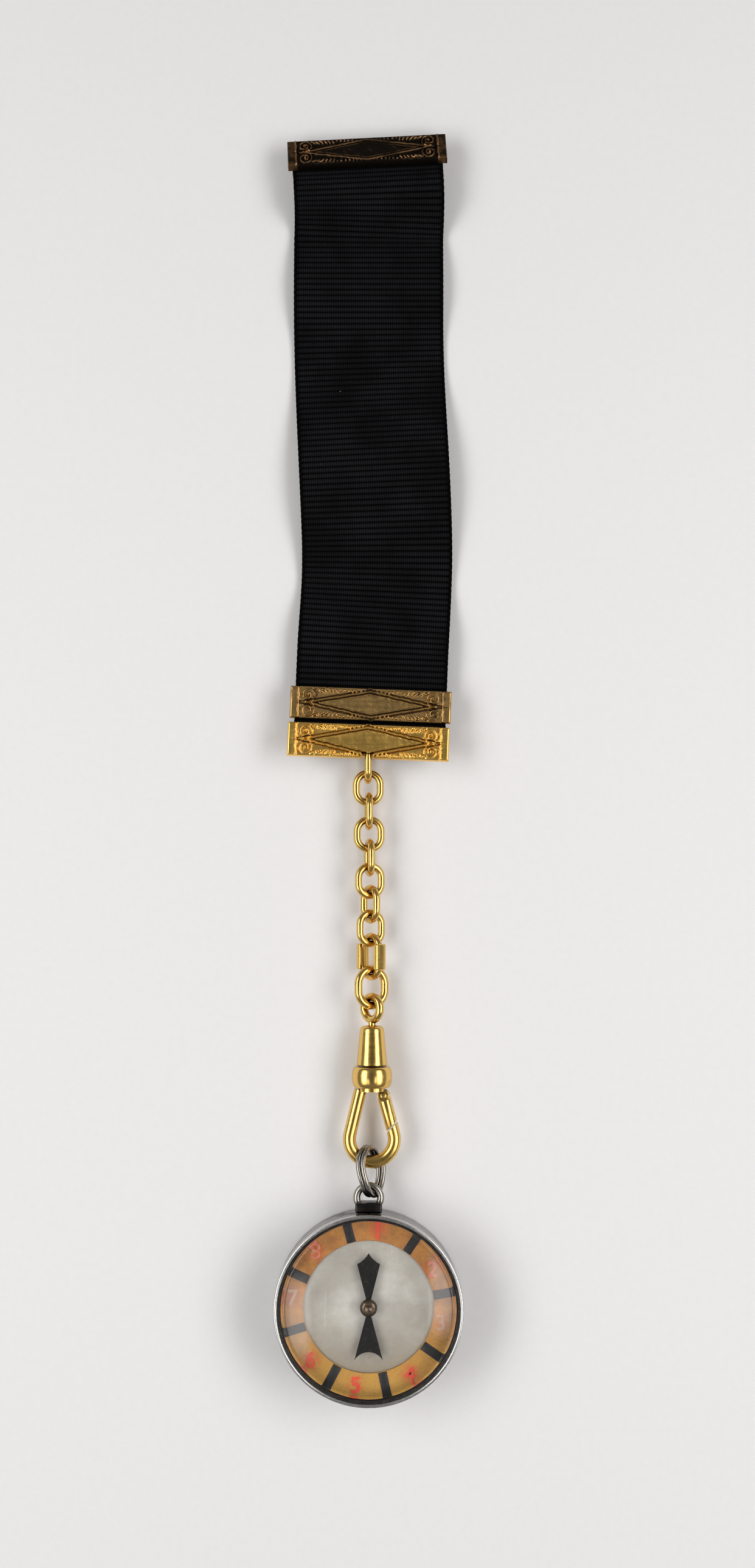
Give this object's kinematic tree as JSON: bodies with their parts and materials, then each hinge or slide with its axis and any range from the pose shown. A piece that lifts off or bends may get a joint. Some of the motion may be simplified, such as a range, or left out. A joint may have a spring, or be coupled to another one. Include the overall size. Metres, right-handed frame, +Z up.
{
  "type": "spinner fob",
  "caption": "Ribbon fob with stamped clamp bars, cable chain and swivel snap hook, carrying a glazed round drum whose black arrow spins freely over a numbered dial.",
  "frame": {"origin": "middle of the underside of the whole fob's bounding box, lying on its back", "axes": "+Z up out of the dial, +Y along the fob from the drum towards the ribbon's top clamp, +X to the right seen from above"},
  "size_m": [0.0304, 0.2074, 0.0088],
  "materials": {
    "cloth": "black grosgrain ribbon, cross ribs about a millimetre apart, plain selvedges",
    "bronze": "gold-filled plate worn to a dark coppery brown, stamped relief",
    "aged_brass": "gold-filled plate tarnished brown with grime in the relief",
    "gilt": "bright yellow gold-filled plate, polished, brown in the hollows",
    "steel": "grey nickelled steel, half polished, fine scratches",
    "dark_steel": "dark gunmetal steel with brown highlights",
    "black_paint": "black enamel on thin sheet",
    "gasket": "black sealing ring",
    "dial_gilt": "matt gilt ring with painted dividers and numbers",
    "cream_dial": "warm cream-grey, dusty and lightly scratched",
    "brown_brass": "brown patinated brass",
    "glass": "clear domed glass"
  },
  "bodies": {
    "ribbon": {"ribbon": "cloth", "top_clamp_plate": "bronze", "top_clamp_pin": "bronze"},
    "top_jaw": {"top_clamp_jaw": "bronze"},
    "keeper": {"keeper_plate": "aged_brass", "keeper_pin": "aged_brass"},
    "keeper_jaw": {"keeper_jaw": "aged_brass"},
    "end_bar": {"end_bar_plate": "gilt", "end_bar_pin": "gilt", "end_bar_staple": "gilt"},
    "link_01": {"chain_link_01": "gilt"},
    "link_02": {"chain_link_02": "gilt"},
    "link_03": {"chain_link_03": "gilt"},
    "link_04": {"chain_link_04": "gilt"},
    "link_05": {"chain_link_05": "gilt"},
    "link_06": {"chain_link_06": "gilt"},
    "link_07": {"chain_link_07": "gilt"},
    "link_08": {"chain_link_08": "gilt"},
    "link_09": {"chain_link_09": "gilt"},
    "link_10": {"chain_link_10": "gilt"},
    "swivel": {"swivel_eye": "gilt", "swivel_barrel": "gilt"},
    "hook": {"hook_collar": "gilt", "hook_body": "gilt", "gate_rivet": "gilt", "gate_spring": "steel"},
    "gate": {"gate": "gilt"},
    "split_ring": {"split_ring": "dark_steel"},
    "case": {"case_band": "steel", "back_cover": "steel", "front_bezel": "steel", "dial_plate": "cream_dial", "dial_ring": "dial_gilt", "crystal_gasket": "gasket", "crystal": "glass", "case_bow": "dark_steel", "pivot_post": "steel"},
    "arrow": {"needle": "black_paint", "needle_hub": "brown_brass"}
  },
  "joints": [
    {"name": "top_jaw_hinge", "type": "hinge", "parent": "ribbon", "child": "top_jaw", "pos_m": [-0.00047, 0.10134, 0.00083], "axis": [0.9986, 0.0523, 0], "range_deg": [0, 95]},
    {"name": "keeper_slide", "type": "slide", "parent": "ribbon", "child": "keeper", "axis": [0.0384, 0.9993, 0], "range_m": [0, 0.006]},
    {"name": "keeper_jaw_hinge", "type": "hinge", "parent": "keeper", "child": "keeper_jaw", "pos_m": [0.00033, 0.01048, 0.0006], "axis": [0.9993, -0.0384, 0], "range_deg": [0, 95]},
    {"name": "end_bar_hinge", "type": "hinge", "parent": "ribbon", "child": "end_bar", "pos_m": [-0.00007, 0.00363, 0.00245], "axis": [0.9993, -0.0384, 0], "range_deg": [-5, 35]},
    {"name": "link_01_swing", "type": "hinge", "parent": "end_bar", "child": "link_01", "pos_m": [-0.00019, 0.00038, 0.00258], "axis": [1, 0, 0], "range_deg": [-35, 60]},
    {"name": "link_02_swing", "type": "hinge", "parent": "link_01", "child": "link_02", "pos_m": [-0.00019, -0.00395, 0.00258], "axis": [0.0349, 0, 0.9994], "range_deg": [-55, 55]},
    {"name": "link_03_swing", "type": "hinge", "parent": "link_02", "child": "link_03", "pos_m": [-0.00012, -0.00761, 0.00265], "axis": [-0.9994, 0, 0.0349], "range_deg": [-55, 55]},
    {"name": "link_04_swing", "type": "hinge", "parent": "link_03", "child": "link_04", "pos_m": [-0.00005, -0.01152, 0.00272], "axis": [-0.0698, 0, -0.9976], "range_deg": [-55, 55]},
    {"name": "link_05_swing", "type": "hinge", "parent": "link_04", "child": "link_05", "pos_m": [0.00002, -0.01518, 0.00279], "axis": [0.9962, 0, -0.0872], "range_deg": [-55, 55]},
    {"name": "link_06_swing", "type": "hinge", "parent": "link_05", "child": "link_06", "pos_m": [0.00009, -0.01909, 0.00286], "axis": [0.1736, 0, 0.9848], "range_deg": [-55, 55]},
    {"name": "link_07_swing", "type": "hinge", "parent": "link_06", "child": "link_07", "pos_m": [0.00016, -0.02275, 0.00293], "axis": [-0.9397, 0, 0.342], "range_deg": [-55, 55]},
    {"name": "link_08_swing", "type": "hinge", "parent": "link_07", "child": "link_08", "pos_m": [0.00023, -0.02671, 0.003], "axis": [-0.5299, 0, -0.848], "range_deg": [-55, 55]},
    {"name": "link_09_swing", "type": "hinge", "parent": "link_08", "child": "link_09", "pos_m": [0.0003, -0.03057, 0.00307], "axis": [0.8829, 0, -0.4695], "range_deg": [-55, 55]},
    {"name": "link_10_swing", "type": "hinge", "parent": "link_09", "child": "link_10", "pos_m": [0.00037, -0.03593, 0.00314], "axis": [0.6428, 0, 0.766], "range_deg": [-55, 55]},
    {"name": "swivel_eye_swing", "type": "hinge", "parent": "link_10", "child": "swivel", "pos_m": [0.00044, -0.04057, 0.00321], "axis": [-0.866, 0, 0.5], "range_deg": [-55, 55]},
    {"name": "clip_swivel", "type": "hinge", "parent": "swivel", "child": "hook", "pos_m": [0.00051, -0.05033, 0.00335], "axis": [0, 1, 0], "continuous": true},
    {"name": "gate_hinge", "type": "hinge", "parent": "hook", "child": "gate", "pos_m": [0.00236, -0.05496, 0.00335], "axis": [0, 0, -1], "range_deg": [0, 25], "stiffness_Nm_per_rad": 0.002, "springref_deg": -11.46},
    {"name": "ring_swing", "type": "hinge", "parent": "hook", "child": "split_ring", "pos_m": [0.00051, -0.06568, 0.00335], "axis": [1, 0, 0], "range_deg": [-50, 35]},
    {"name": "case_swing", "type": "hinge", "parent": "split_ring", "child": "case", "pos_m": [0, -0.07083, 0.0043], "axis": [0.4695, 0, -0.8829], "range_deg": [-35, 35]},
    {"name": "arrow_spin", "type": "hinge", "parent": "case", "child": "arrow", "pos_m": [0, -0.08855, 0.0051], "axis": [0, 0, 1], "continuous": true}
  ]
}
